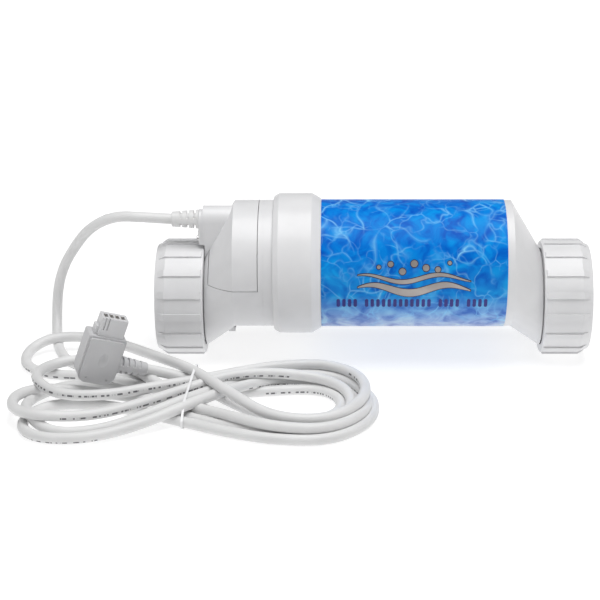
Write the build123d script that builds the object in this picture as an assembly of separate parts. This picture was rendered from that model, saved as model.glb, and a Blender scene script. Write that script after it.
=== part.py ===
from build123d import *
import math
import os

# A salt chlorine generator cell: a 4 inch tube with an offset port at each end, a union nut on each
# port, a plate pack inside, and a cell cord that lies in a tied hank beside it. The cord hangs
# clear of the pipe that will enter the inlet's socket.
# Millimetres, +X along the tube, +Y to the back, +Z up, origin on the floor under the middle.

# ---------------------------------------------------------------- tube
BODY_Z = 77.7
BODY_R = 52.1
BODY_BORE_R = 48.7
TUBE_END_WALL = 4.0
TUBE_LEFT_X = -62.0
TUBE_RIGHT_X = 113.0
COLLAR_R = 57.7
COLLAR_BORE_R = 52.3
COLLAR_LEFT_X = -81.5
COLLAR_RIGHT_X = -43.0
COLLAR_LEFT_STEP = (2.6, 4.4)
COLLAR_RIGHT_STEP = (1.0, 7.3)
LABEL_LEFT_X = -42.6
LABEL_RIGHT_X = 107.0
LABEL_INNER_R = 52.15
LABEL_OUTER_R = 52.45

# ---------------------------------------------------------------- ports and unions, outward from the middle
UNION_Z = 48.0
CONE_END = 137.5
CONE_END_R = 40.2
NECK_R = 36.5
NECK_END = 142.0
CORE_R = 38.0
PORT_END = 156.0
PORT_BORE_R = 26.0
THREAD_START = 143.6
THREAD_PITCH = 5.0
THREAD_TURNS = 2.0
THREAD_HEIGHT = 1.5
SEAL_R = 33.8
SEAL_SECTION_R = 1.75
SEAL_CENTRE = 155.0
SEAL_GROOVE = 153.2
FLANGE_START = 156.8
FLANGE_END = 161.8
FLANGE_R = 37.6
BARREL_R = 34.6
SOCKET_START = 158.8
SOCKET_R = 30.2
NUT_START = 138.5
NUT_END = 177.8
NUT_R = 46.7
NUT_BORE_R = 39.8
NUT_SHOULDER = 162.1
NUT_LIP_END = 169.5
NUT_LIP_R = 35.0
NUT_TAPER = 169.5
NUT_END_R = 43.3
RIB_R = 48.0
RIB_COUNT = 16
RIB_DEGREES = 7.0
RIB_START = NUT_START + 1.2
RIB_RUN_IN = 0.8
RIB_RUN_OUT = 3.0

# ---------------------------------------------------------------- end cap and terminal cover
CAP_CYLINDER_X = -113.8
COVER_LEFT_X = -134.0
COVER_RIGHT_X = -93.2
COVER_SEAM_Z = 72.1
COVER_WALL = 3.0
CONE_ROOT = 2.5
SEAM = 0.5
ROOF = 3.0
BULKHEAD_X = -89.6
DUCT_R = 29.5
DUCT_END_X = -109.0
DUCT_WALL = 3.5
CHAMBER_LEFT_X = 3.0 - CONE_END
CHAMBER_LEFT_R = PORT_BORE_R + 5.5
SPIGOT_END_X = -50.0
SPIGOT_R = 48.4
SPIGOT_BORE_R = 45.4
BODY_SEAL_X = -55.0
BODY_SEAL_R = 47.35
BODY_SEAL_SECTION_R = 1.22
LUG_LENGTH = 5.7
LUG_WIDTH = 26.0
LUG_DROP = 3.8
LUG_TOP_Z = 32.0
BEAD_STEP = 3.6
BEAD_WIDTH = 0.8
BEAD_DEPTH = 0.35
BOX_LEFT_X = -139.2
BOX_NUT_X = -138.0
BOX_WIDTH = 22.0
BOX_TOP_Z = 127.1
BOX_FLOOR_Z = 97.0
BOX_LOW_Z = 80.0
PLATE_LEFT_X = -142.9
PLATE_INSET = 1.2
PLATE_TOP_Z = 124.2
SCREW_Y = 6.8
SCREW_Z = 101.6
SCREW_HEAD_R = 2.4
SCREW_HEAD_HEIGHT = 1.6
SCREW_LENGTH = 3.0
SCREW_SHANK_R = 1.4

# ---------------------------------------------------------------- plate pack
BLADE_COUNT = 13
BLADE_PITCH = 4.0
BLADE_THICKNESS = 1.0
BLADE_LEFT_X = -80.0
BLADE_RIGHT_X = 104.0
BLADE_HALF_HEIGHT = 35.0
BUS_LEFT_X = -88.0
BUS_RIGHT_X = -85.0
BUS_HALF_WIDTH = 25.0
BUS_HEIGHT = 6.0
ANODE_POST = (-14.0, 101.0)
CATHODE_POST = (14.0, 87.0)
POST_R = 4.0
POST_HOLE_R = 4.15
POST_END_X = -112.0
COMB_LEFT_X = (-43.0, 90.0)
COMB_LENGTH = 6.0
COMB_HALF_WIDTH = 27.0
COMB_BITE = 2.0
COMB_TOP_Z = 118.0
COMB_SLOT = 1.3
SENSOR_Z = 118.5
SENSOR_R = 3.0
SENSOR_HEAD_R = 4.5
SENSOR_ENDS_X = (-99.0, -84.0)
POST_NUT_R = 7.5
POST_NUT_HEIGHT = 5.0
WIRE_R = 1.3
SENSOR_WIRE_R = 1.0
RING_R = 6.5
RING_X = (-104.4, -103.2)

# ---------------------------------------------------------------- cord, hank and plug
CORD_D = 8.6
CORD_R = CORD_D / 2
CORD_Z = 116.0
RELIEF_END_X = -165.0
SHANK_R = 6.0
RELIEF_BASE_R = 7.8
RELIEF_TIP_R = CORD_R + 1.8
RELIEF_SLITS = (3.2, 8.8, 14.4)
SLIT_WIDTH = 1.9
SLIT_WEB = 4.6
SHANK_END_X = -134.7
LEAD_ROUTE = [
    (RELIEF_END_X, 0.0, CORD_Z),
    (-198.0, 0.5, 117.6),
    (-217.0, 7.5, 112.0),
    (-246.0, 24.0, 88.0),
    (-262.5, 39.5, 60.5),
    (-269.0, 39.5, 38.0),
    (-269.0, 28.4, 17.0),
    (-266.0, 8.0, 4.5),
    (-260.5, -16.0, 4.5),
    (-255.0, -29.0, 4.5),
]
HANK_OUTLINE = [
    (-144.0, -88.0), (-182.0, -62.0), (-225.0, -14.0), (-263.0, 9.0), (-289.0, -14.0),
    (-281.0, -64.0), (-284.0, -112.0), (-286.0, -146.0), (-265.0, -172.0), (-228.0, -181.0),
    (-184.0, -170.0), (-144.0, -152.0), (-104.0, -172.0), (-58.0, -187.0), (-16.0, -171.0),
    (4.0, -122.0), (-14.0, -76.0), (-56.0, -56.0), (-104.0, -66.0),
]
HANK_X = (-400.0, 100.0)
HANK_Y = (-300.0, 100.0)
HANK_LEFT_HEIGHT = 13.0
HANK_RIGHT_HEIGHT = 17.0
HANK_WAIST_HEIGHT = 24.0
WAIST_X = (-168.0, -122.0)
TIE_X = -144.0
TIE_WIDTH = 2.6
TIE_THICKNESS = 1.2
TIE_GAP = 0.6
PLUG_PLACE = (-216.2, -98.0, 36.5)
PLUG_TILT = 20.0
PLUG_YAW = 19.0
PLUG_WIDTH = 31.0
PLUG_THICKNESS = 20.0
PLUG_HEIGHT = 41.0
PLUG_FOOT_R = 9.0
PANEL_INSET = 1.6
PANEL_RISE = 2.2
DISH_R = 10.4
DISH_PLACE = (1.0, 9.0, 1.5)
DIMPLES = ((-8.4, -14.8), (8.4, -14.8))
INSERT_BITE = 5.0
INSERT_WIDTH = 21.5
INSERT_THICKNESS = 12.0
INSERT_HEIGHT = 15.5
INSERT_X = 1.5
CONTACT_COUNT = 4
CONTACT_PITCH = 4.6
CAVITY_DEPTH = 9.0
CONTACT_R = 1.3
LEDGE_WIDTH = 2.2
LEDGE_HEIGHT = 7.0
PLUG_RELIEF_Z = -4.0
PLUG_RELIEF_LENGTH = 25.0
PLUG_RELIEF_BASE_R = 7.4
PLUG_RELIEF_TIP_R = CORD_R + 0.9
PLUG_SLITS = (3.4, 8.2, 13.0, 18.4)
TAIL_LENGTH = 16.0

# ---------------------------------------------------------------- cutting blocks larger than what they cut
AROUND = 80.0
ABOVE = 200.0
LEFT_OF_ALL = -150.0


# ---------------------------------------------------------------- helpers
def along_x(radius, x0, x1, z=BODY_Z, y=0.0):
    """A cylinder along X from x0 to x1."""
    return Pos((x0 + x1) / 2, y, z) * Cylinder(radius, x1 - x0, rotation=(0, 90, 0))


def block(x0, x1, y0, y1, z0, z1):
    """A box between two corners."""
    return Pos((x0 + x1) / 2, (y0 + y1) / 2, (z0 + z1) / 2) * Box(x1 - x0, y1 - y0, z1 - z0)


def slanted_cone(x0, r0, z0, x1, r1, z1):
    """The solid between two circles that stand across X on different axes."""
    first = Plane((x0, 0, z0), x_dir=(0, 1, 0), z_dir=(1, 0, 0))
    last = Plane((x1, 0, z1), x_dir=(0, 1, 0), z_dir=(1, 0, 0))
    return Solid.make_loft([(first * Circle(r0)).wire(), (last * Circle(r1)).wire()], ruled=True)


def turned(points, rounding=0.0, corners=()):
    """A solid turned about +Z from (radius, height) points, with the corners named rounded off."""
    outline = make_face(Polyline(*points, close=True))
    if corners:
        picked = [outline.vertices().sort_by_distance((*points[i], 0))[0] for i in corners]
        outline = fillet(picked, rounding)
    return revolve(Plane.XZ * outline, axis=Axis.Z)


def on_body_axis(shape):
    """Turns a shape made about +Z to lie along the tube, its height becoming X."""
    return Pos(0, 0, BODY_Z) * Rot(0, 90, 0) * shape


def on_port(side, shape):
    """Turns a shape made about +Z to a port: side -1 is the inlet's, +1 the outlet's."""
    return Pos(0, 0, UNION_Z) * Rot(0, 90 * side, 0) * shape


def on_plug(shape):
    """Places a shape made about the middle of the plug's body."""
    return Pos(*PLUG_PLACE) * Rot(0, PLUG_TILT, 0) * Rot(0, 0, PLUG_YAW) * shape


def tube(points, radius, radii):
    """A round tube along straight runs joined by tangent arcs."""
    path = FilletPolyline(*points, radius=radii)
    section = Plane(path @ 0, z_dir=path % 0) * Circle(radius)
    return sweep(section, path=path), path.length


def corner_radii(points):
    """For each corner, the largest arc that its two runs allow."""
    radii = []
    for before, corner, after in zip(points, points[1:], points[2:]):
        arriving = Vector(*corner) - Vector(*before)
        leaving = Vector(*after) - Vector(*corner)
        half_turn = math.radians(arriving.get_angle(leaving)) / 2
        radii.append(0.45 * min(arriving.length, leaving.length) / math.tan(half_turn))
    return radii


# ---------------------------------------------------------------- ports and unions
def thread_ridge(root_r, outward):
    """One helical ridge, wide at its root and narrow at its crest; outward is 1 on a bolt, -1 in a nut."""
    helix = Helix(THREAD_PITCH, THREAD_PITCH * THREAD_TURNS, root_r, center=(0, 0, THREAD_START))
    start = Plane(helix @ 0, x_dir=(outward, 0, 0), z_dir=helix % 0)
    section = Polyline((-0.3, -1.2), (THREAD_HEIGHT, -0.6), (THREAD_HEIGHT, 0.6), (-0.3, 1.2), close=True)
    return sweep(start * make_face(section), path=helix, is_frenet=True)


def port_outside(side):
    """The port's neck and its threaded end."""
    neck = Pos(0, 0, (CONE_END + NECK_END) / 2) * Cylinder(NECK_R, NECK_END - CONE_END)
    core = Pos(0, 0, (NECK_END + PORT_END) / 2) * Cylinder(CORE_R, PORT_END - NECK_END)
    return on_port(side, neck + core + thread_ridge(CORE_R, 1))


def seal_groove(side):
    """The groove in the port's end face that the o-ring sits in."""
    inner = SEAL_R - SEAL_SECTION_R - 0.15
    outer = SEAL_R + SEAL_SECTION_R + 0.15
    top = PORT_END + 1
    return on_port(side, turned([(inner, SEAL_GROOVE), (outer, SEAL_GROOVE), (outer, top), (inner, top)]))


def union_seal(side):
    return on_port(side, Pos(0, 0, SEAL_CENTRE) * Torus(SEAL_R, SEAL_SECTION_R))


def tailpiece(side):
    """The flanged pipe socket that the nut pulls onto the port."""
    profile = [
        (PORT_BORE_R, FLANGE_START),
        (FLANGE_R, FLANGE_START),
        (FLANGE_R, FLANGE_END),
        (BARREL_R, FLANGE_END),
        (BARREL_R, NUT_END),
        (SOCKET_R, NUT_END),
        (SOCKET_R, SOCKET_START),
        (PORT_BORE_R, SOCKET_START),
    ]
    return on_port(side, turned(profile, 0.6, (1, 2, 4)))


def nut_rib():
    """One grip rib, a thin slice of a ring that follows the nut's taper."""
    profile = [
        (NUT_R - 1.5, RIB_START),
        (NUT_R, RIB_START),
        (RIB_R, RIB_START + RIB_RUN_IN),
        (RIB_R, NUT_TAPER + 0.6),
        (NUT_END_R + 1.6, NUT_END - RIB_RUN_OUT),
        (NUT_END_R - 0.5, NUT_END - 2.4),
        (NUT_R - 4.5, NUT_TAPER),
    ]
    face = Plane.XZ * make_face(Polyline(*profile, close=True))
    return Rot(0, 0, -RIB_DEGREES / 2) * revolve(face, axis=Axis.Z, revolution_arc=RIB_DEGREES)


def union_nut(side):
    """The union nut: a threaded sleeve with a lip at its outer end and grip ribs around it."""
    profile = [
        (NUT_BORE_R, NUT_START),
        (NUT_R, NUT_START),
        (NUT_R, NUT_TAPER),
        (NUT_END_R, NUT_END),
        (NUT_BORE_R, NUT_END),
        (NUT_BORE_R, NUT_LIP_END),
        (NUT_LIP_R, NUT_LIP_END),
        (NUT_LIP_R, NUT_SHOULDER),
        (NUT_BORE_R, NUT_SHOULDER),
    ]
    nut = turned(profile, 1.2, (1, 3, 4))
    for i in range(RIB_COUNT):
        nut = nut + Rot(0, 0, i * 360 / RIB_COUNT) * nut_rib()
    return on_port(side, nut + Rot(0, 0, 180) * thread_ridge(NUT_BORE_R, -1))


# ---------------------------------------------------------------- tube, label and collar
def cell_body():
    """The tube, closed on the right by the slanted cone that leads to the outlet port."""
    outside = along_x(BODY_R, TUBE_LEFT_X, TUBE_RIGHT_X)
    outside = outside + slanted_cone(TUBE_RIGHT_X, BODY_R, BODY_Z, CONE_END, CONE_END_R, UNION_Z)
    outside = outside + port_outside(1)
    bore_end = TUBE_RIGHT_X - TUBE_END_WALL
    inside = along_x(BODY_BORE_R, TUBE_LEFT_X - 1, bore_end)
    inside = inside + slanted_cone(bore_end, BODY_BORE_R, BODY_Z, CONE_END - 3.0, PORT_BORE_R + 4, UNION_Z)
    inside = inside + along_x(PORT_BORE_R, CONE_END - 5.0, PORT_END + 1, UNION_Z)
    return outside - inside - seal_groove(1)


def label_wrap():
    return along_x(LABEL_OUTER_R, LABEL_LEFT_X, LABEL_RIGHT_X) - along_x(
        LABEL_INNER_R, LABEL_LEFT_X - 1, LABEL_RIGHT_X + 1
    )


def collar_ring():
    """The wide ring that joins the end cap to the tube, chamfered on both sides."""
    left_drop, left_run = COLLAR_LEFT_STEP
    right_lip, right_run = COLLAR_RIGHT_STEP
    profile = [
        (COLLAR_BORE_R, COLLAR_LEFT_X),
        (COLLAR_R - left_drop, COLLAR_LEFT_X),
        (COLLAR_R, COLLAR_LEFT_X + left_run),
        (COLLAR_R, COLLAR_RIGHT_X - right_run),
        (COLLAR_BORE_R + right_lip, COLLAR_RIGHT_X),
        (COLLAR_BORE_R, COLLAR_RIGHT_X),
    ]
    return on_body_axis(turned(profile, 1.4, (1, 2, 3)))


def body_seal():
    return on_body_axis(Pos(0, 0, BODY_SEAL_X) * Torus(BODY_SEAL_R, BODY_SEAL_SECTION_R))


# ---------------------------------------------------------------- end cap and terminal cover
def cap_outside():
    """The end cap's outside: a cylinder and the slanted cone that leads to the inlet port."""
    cylinder = along_x(BODY_R, CAP_CYLINDER_X, TUBE_LEFT_X - SEAM / 2)
    return cylinder + slanted_cone(-CONE_END, CONE_END_R, UNION_Z, CAP_CYLINDER_X, BODY_R, BODY_Z)


def cone_circle(x, gap):
    """The place, radius and height of the inlet cone's circle at x, with a gap around it."""
    share = (x + CONE_END) / (CAP_CYLINDER_X + CONE_END)
    return x, CONE_END_R + share * (BODY_R - CONE_END_R) + gap, UNION_Z + share * (BODY_Z - UNION_Z)


def cap_chamber():
    """The water space under the roof, as wide as the cap's wall allows."""
    cone_right = CAP_CYLINDER_X + CONE_ROOT
    cone = slanted_cone(CHAMBER_LEFT_X, CHAMBER_LEFT_R, UNION_Z, cone_right, BODY_BORE_R, BODY_Z)
    space = along_x(BODY_BORE_R, cone_right, BULKHEAD_X + 1) + cone
    below_roof = block(CHAMBER_LEFT_X, BULKHEAD_X + 1, -AROUND, AROUND, 0, COVER_SEAM_Z - ROOF)
    return space & below_roof


def end_cap():
    """The left end: bulkhead, water chamber, roofed duct to the inlet port, spigot and lug."""
    cover_space = block(COVER_LEFT_X - SEAM, COVER_RIGHT_X, -AROUND, AROUND, COVER_SEAM_Z, ABOVE)
    duct = along_x(DUCT_R, COVER_LEFT_X - SEAM - 1, DUCT_END_X, UNION_Z)
    duct = duct & block(LEFT_OF_ALL, 0, -AROUND, AROUND, COVER_SEAM_Z - ROOF, ABOVE)
    lug_right = CAP_CYLINDER_X - 0.5
    lug_low = BODY_Z - BODY_R - LUG_DROP
    lug = block(lug_right - LUG_LENGTH, lug_right, -LUG_WIDTH / 2, LUG_WIDTH / 2, lug_low, LUG_TOP_Z)
    cap = cap_outside() - cover_space + duct + lug + port_outside(-1)
    cap = cap + along_x(SPIGOT_R, TUBE_LEFT_X - 2, SPIGOT_END_X)
    seal_half = BODY_SEAL_SECTION_R + 0.2
    groove_x = (BODY_SEAL_X - seal_half, BODY_SEAL_X + seal_half)
    groove = along_x(AROUND, *groove_x) - along_x(BODY_SEAL_R - BODY_SEAL_SECTION_R - 0.1, *groove_x)
    cap = cap - groove
    cap = cap - along_x(BODY_BORE_R, BULKHEAD_X, TUBE_LEFT_X - 3)
    cap = cap - along_x(SPIGOT_BORE_R, TUBE_LEFT_X - 4, SPIGOT_END_X + 1)
    cap = cap - cap_chamber() - along_x(PORT_BORE_R, -PORT_END - 1, DUCT_END_X - DUCT_WALL, UNION_Z)
    for y, z in (ANODE_POST, CATHODE_POST):
        cap = cap - along_x(POST_HOLE_R, COVER_RIGHT_X - 1, BULKHEAD_X + 1, z, y)
    cap = cap - along_x(SENSOR_R + 0.15, COVER_RIGHT_X - 1, BULKHEAD_X + 1, SENSOR_Z)
    bead_x = (COVER_RIGHT_X + BEAD_STEP, COVER_RIGHT_X + BEAD_STEP + BEAD_WIDTH)
    bead = along_x(AROUND, *bead_x) - along_x(BODY_R - BEAD_DEPTH, *bead_x)
    return cap - bead - seal_groove(-1)


def terminal_box(inset):
    """The narrow upright box over the inlet that carries the cord: straight sides and a round top."""
    half = BOX_WIDTH / 2 - inset
    middle_z = BOX_TOP_Z - BOX_WIDTH / 2
    right = CAP_CYLINDER_X + 6.0
    sides = block(BOX_LEFT_X + inset, right, -half, half, BOX_LOW_Z, middle_z)
    return sides + along_x(half, BOX_LEFT_X + inset, right, middle_z)


def terminal_cover():
    """The removable shell over the wiring: the cap's upper half and the narrow box, hollow inside."""
    right = COVER_RIGHT_X - SEAM
    over_cap = block(COVER_LEFT_X, right, -AROUND, AROUND, COVER_SEAM_Z + SEAM, ABOVE)
    over_nut = block(BOX_LEFT_X, BOX_NUT_X, -AROUND, AROUND, BOX_FLOOR_Z, ABOVE)
    beside_nut = block(BOX_NUT_X, COVER_LEFT_X, -AROUND, AROUND, BOX_LOW_Z, ABOVE)
    cover = (cap_outside() & over_cap) + (terminal_box(0) & (over_cap + over_nut + beside_nut))
    rim = slanted_cone(*cone_circle(-CONE_END - 2, SEAM), *cone_circle(COVER_LEFT_X, SEAM))
    cover = cover - rim
    cone_right = CAP_CYLINDER_X + CONE_ROOT
    cavity = along_x(BODY_R - COVER_WALL, cone_right, right + 1)
    cone_left = CONE_ROOT - CONE_END
    inner_r = BODY_R - COVER_WALL
    cavity = cavity + slanted_cone(cone_left, CONE_END_R - COVER_WALL, UNION_Z, cone_right, inner_r, BODY_Z)
    cavity = cavity & block(COVER_LEFT_X - 1, right + 1, -AROUND, AROUND, 0, ABOVE)
    above_floor = block(LEFT_OF_ALL, right, -AROUND, AROUND, BOX_FLOOR_Z + COVER_WALL, ABOVE)
    cavity = cavity + (terminal_box(COVER_WALL) & above_floor)
    cover = cover - cavity
    cover = cover - along_x(SHANK_R + 0.1, BOX_LEFT_X - 1, BOX_LEFT_X + 5, CORD_Z)
    for y in (-SCREW_Y, SCREW_Y):
        cover = cover - along_x(SCREW_SHANK_R + 0.1, BOX_LEFT_X - 1, BOX_LEFT_X + 5, SCREW_Z, y)
    return cover


def cover_plate():
    """The plate on the end of the box, which the strain relief passes through."""
    half = BOX_WIDTH / 2 - PLATE_INSET
    middle_z = PLATE_TOP_Z - half
    plate = block(PLATE_LEFT_X, BOX_LEFT_X, -half, half, BOX_FLOOR_Z, middle_z)
    plate = plate + along_x(half, PLATE_LEFT_X, BOX_LEFT_X, middle_z)
    plate = fillet(plate.faces().sort_by(Axis.X)[0].edges(), 0.8)
    plate = plate - along_x(SHANK_R + 0.1, PLATE_LEFT_X - 1, BOX_LEFT_X + 1, CORD_Z)
    for y in (-SCREW_Y, SCREW_Y):
        plate = plate - along_x(SCREW_SHANK_R + 0.1, PLATE_LEFT_X - 1, BOX_LEFT_X + 1, SCREW_Z, y)
    return plate


def plate_screws():
    """Two pan head screws with cross recesses."""
    screws = []
    for y in (-SCREW_Y, SCREW_Y):
        head = along_x(SCREW_HEAD_R, PLATE_LEFT_X - SCREW_HEAD_HEIGHT, PLATE_LEFT_X, SCREW_Z, y)
        head = fillet(head.edges().sort_by(Axis.X)[0], 0.7)
        screw = head + along_x(SCREW_SHANK_R, PLATE_LEFT_X, BOX_LEFT_X + SCREW_LENGTH, SCREW_Z, y)
        for long_y, long_z in ((1.4, 0.3), (0.3, 1.4)):
            left = PLATE_LEFT_X - 2
            z0, z1 = SCREW_Z - long_z, SCREW_Z + long_z
            screw = screw - block(left, left + 1.3, y - long_y, y + long_y, z0, z1)
        screws.append(screw)
    return Compound(children=screws)


def slit_relief(length, base_r, end_r, slits):
    """A tapered strain relief along +Z with slits on two sides, joined by webs on the others."""
    relief = turned([(0, 0), (base_r, 0), (end_r, length), (0, length)], 0.6, (1, 2))
    for height in slits:
        cutter = Pos(0, 0, height) * (Cylinder(AROUND, SLIT_WIDTH) - Cylinder(CORD_R + 0.6, SLIT_WIDTH))
        relief = relief - (cutter - Pos(0, 0, height) * Box(SLIT_WEB, 2 * AROUND, 2 * SLIT_WIDTH))
    return relief


def strain_relief():
    """The cord's strain relief, with the shank that is held in the plate and the box."""
    length = PLATE_LEFT_X - RELIEF_END_X
    taper = slit_relief(length, RELIEF_BASE_R, RELIEF_TIP_R, RELIEF_SLITS)
    shank = along_x(SHANK_R, PLATE_LEFT_X, SHANK_END_X, CORD_Z)
    return Pos(PLATE_LEFT_X, 0, CORD_Z) * Rot(0, -90, 0) * taper + shank


# ---------------------------------------------------------------- plate pack and wiring
def blade_y(i):
    return (i - (BLADE_COUNT - 1) / 2) * BLADE_PITCH


def blades(first, tab_z):
    """Every second plate of the pack, each with a tab that reaches its bus bar."""
    plates = []
    for i in range(first, BLADE_COUNT, 2):
        y0 = blade_y(i) - BLADE_THICKNESS / 2
        y1 = y0 + BLADE_THICKNESS
        low = BODY_Z - BLADE_HALF_HEIGHT
        plate = block(BLADE_LEFT_X, BLADE_RIGHT_X, y0, y1, low, low + 2 * BLADE_HALF_HEIGHT)
        tab = block(BUS_RIGHT_X, BLADE_LEFT_X, y0, y1, tab_z - BUS_HEIGHT / 2, tab_z + BUS_HEIGHT / 2)
        plates.append(plate + tab)
    return Compound(children=plates)


def bus_bar(post):
    """The bar that joins one polarity's plates, with its post through the bulkhead."""
    y, z = post
    half = BUS_HEIGHT / 2
    bar = block(BUS_LEFT_X, BUS_RIGHT_X, -BUS_HALF_WIDTH, BUS_HALF_WIDTH, z - half, z + half)
    return bar + along_x(POST_R, POST_END_X, BUS_LEFT_X, z, y)


def plate_combs():
    """Four slotted bars that keep the plates apart, above and below."""
    combs = []
    plate_top = BODY_Z + BLADE_HALF_HEIGHT
    for left in COMB_LEFT_X:
        right = left + COMB_LENGTH
        bar = block(left, right, -COMB_HALF_WIDTH, COMB_HALF_WIDTH, plate_top - COMB_BITE, COMB_TOP_Z)
        for i in range(BLADE_COUNT):
            y0 = blade_y(i) - COMB_SLOT / 2
            bar = bar - block(left - 1, right + 1, y0, y0 + COMB_SLOT, plate_top - 3, plate_top + 0.2)
        combs.append(bar)
        combs.append(Pos(0, 0, 2 * BODY_Z) * Rot(180, 0, 0) * bar)
    return Compound(children=combs)


def terminal_seals():
    """The rubber washers between the bus bars and the bulkhead."""
    washers = []
    for y, z in (ANODE_POST, CATHODE_POST):
        disc = along_x(2 * POST_R, BULKHEAD_X, BUS_LEFT_X, z, y)
        washers.append(disc - along_x(POST_HOLE_R, BULKHEAD_X - 1, BUS_LEFT_X + 1, z, y))
    return Compound(children=washers)


def terminal_nuts():
    """A hexagon nut on each post, outside the bulkhead."""
    nuts = []
    for y, z in (ANODE_POST, CATHODE_POST):
        left = COVER_RIGHT_X - POST_NUT_HEIGHT
        hexagon = extrude(RegularPolygon(POST_NUT_R, 6), POST_NUT_HEIGHT)
        nut = Pos(left, y, z) * Rot(0, 90, 0) * hexagon
        nuts.append(nut - along_x(POST_HOLE_R, left - 1, COVER_RIGHT_X + 1, z, y))
    return Compound(children=nuts)


def power_wire(post, points):
    """One wire from the strain relief to a ring terminal on its post."""
    y, z = post
    ring = along_x(RING_R, *RING_X, z, y) - along_x(POST_HOLE_R, *RING_X, z, y)
    wire, _ = tube(points, WIRE_R, corner_radii(points))
    return ring + wire


def power_wires():
    anode = [(SHANK_END_X, -2.6, 116.5), (-127.0, -2.6, 116.5), (-114.0, -8.0, 112.0), (-103.8, -13.5, 106.6)]
    cathode = [(SHANK_END_X, 2.6, 116.5), (-127.0, 2.6, 116.5), (-114.0, 9.0, 106.0), (-103.8, 13.5, 92.6)]
    return Compound(children=[power_wire(ANODE_POST, anode), power_wire(CATHODE_POST, cathode)])


def temperature_sensor():
    """The probe through the bulkhead, with its head and its wire."""
    left, right = SENSOR_ENDS_X
    probe = along_x(SENSOR_R, left, right, SENSOR_Z) + along_x(SENSOR_HEAD_R, left, COVER_RIGHT_X, SENSOR_Z)
    points = [(SHANK_END_X, 0.0, 120.6), (-126.0, 0.0, 120.6), (-110.0, 0.0, 120.2), (-98.5, 0.0, SENSOR_Z)]
    wire, _ = tube(points, SENSOR_WIRE_R, corner_radii(points))
    return probe + wire


# ---------------------------------------------------------------- cord, hank and plug
def cord_lead():
    """The cord from the strain relief down to the floor, where it joins the hank."""
    radii = corner_radii(LEAD_ROUTE)
    solid, length = tube(LEAD_ROUTE, CORD_R, radii)
    expected = math.pi * CORD_R**2 * length
    print("cord_lead radii", [round(r, 1) for r in radii])
    print("cord_lead length", round(length, 1), "volume share", round(solid.volume / expected, 4))
    return solid


def cord_hank():
    """The outer shape of the tied hank: two lobes and a higher waist, with room for the tie."""
    outline = make_face(Spline(*HANK_OUTLINE, periodic=True))
    far_left, far_right = HANK_X
    left = extrude(outline, HANK_LEFT_HEIGHT) & block(far_left, TIE_X, *HANK_Y, 0, HANK_LEFT_HEIGHT)
    right = extrude(outline, HANK_RIGHT_HEIGHT) & block(TIE_X, far_right, *HANK_Y, 0, HANK_RIGHT_HEIGHT)
    waist = extrude(outline, HANK_WAIST_HEIGHT) & block(*WAIST_X, *HANK_Y, 0, HANK_WAIST_HEIGHT)
    half = TIE_WIDTH / 2 + TIE_GAP
    under_tie = block(TIE_X - half, TIE_X + half, *HANK_Y, 0, TIE_THICKNESS + 0.2)
    return left + right + waist - under_tie


def hank_tie():
    """The band around the hank's waist."""
    front = HANK_OUTLINE[11][1] - TIE_GAP
    back = HANK_OUTLINE[0][1] + TIE_GAP
    x0, x1 = TIE_X - TIE_WIDTH / 2, TIE_X + TIE_WIDTH / 2
    top = HANK_WAIST_HEIGHT + 0.2
    inner = block(x0 - 1, x1 + 1, front, back, TIE_THICKNESS, top)
    outer = block(x0, x1, front - TIE_THICKNESS, back + TIE_THICKNESS, 0, top + TIE_THICKNESS)
    return outer - inner


def plug_outline(inset):
    """The plug's outline seen from the front: square shoulders and a round foot."""
    half = PLUG_WIDTH / 2 - inset
    low, high = inset - PLUG_HEIGHT / 2, PLUG_HEIGHT / 2 - inset
    face = make_face(Polyline((-half, low), (half, low), (half, high), (-half, high), close=True))
    foot = face.vertices().sort_by(Axis.Y)[:2]
    face = fillet(foot, PLUG_FOOT_R - inset)
    shoulders = face.vertices().sort_by(Axis.Y)[-2:]
    return fillet(shoulders, 1.6)


def plug_body():
    """The moulded right-angle shell: a back part, a raised front panel with a thumb dish, two dimples."""
    half = PLUG_THICKNESS / 2
    front = half - PANEL_RISE
    back = extrude(Plane.XZ * plug_outline(0), front, both=True)
    panel = Pos(0, -front, 0) * extrude(Plane.XZ * plug_outline(PANEL_INSET), PANEL_RISE)
    back_panel = Pos(0, front, 0) * extrude(Plane.XZ * plug_outline(PANEL_INSET), -PANEL_RISE)
    body = back + panel + back_panel
    dish_x, dish_out, dish_z = DISH_PLACE
    body = body - Pos(dish_x, -half - dish_out, dish_z) * scale(Sphere(DISH_R), by=(0.72, 1, 1.2))
    for x, z in DIMPLES:
        body = body - Pos(x, -half, z) * Cylinder(0.9, 1.2, rotation=(90, 0, 0))
    pocket = Box(INSERT_WIDTH + 0.2, INSERT_THICKNESS + 0.2, 2 * INSERT_BITE)
    return on_plug(body - Pos(INSERT_X, 0, PLUG_HEIGHT / 2) * pocket)


def contact_x(i):
    return INSERT_X + (i - (CONTACT_COUNT - 1) / 2) * CONTACT_PITCH


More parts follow.
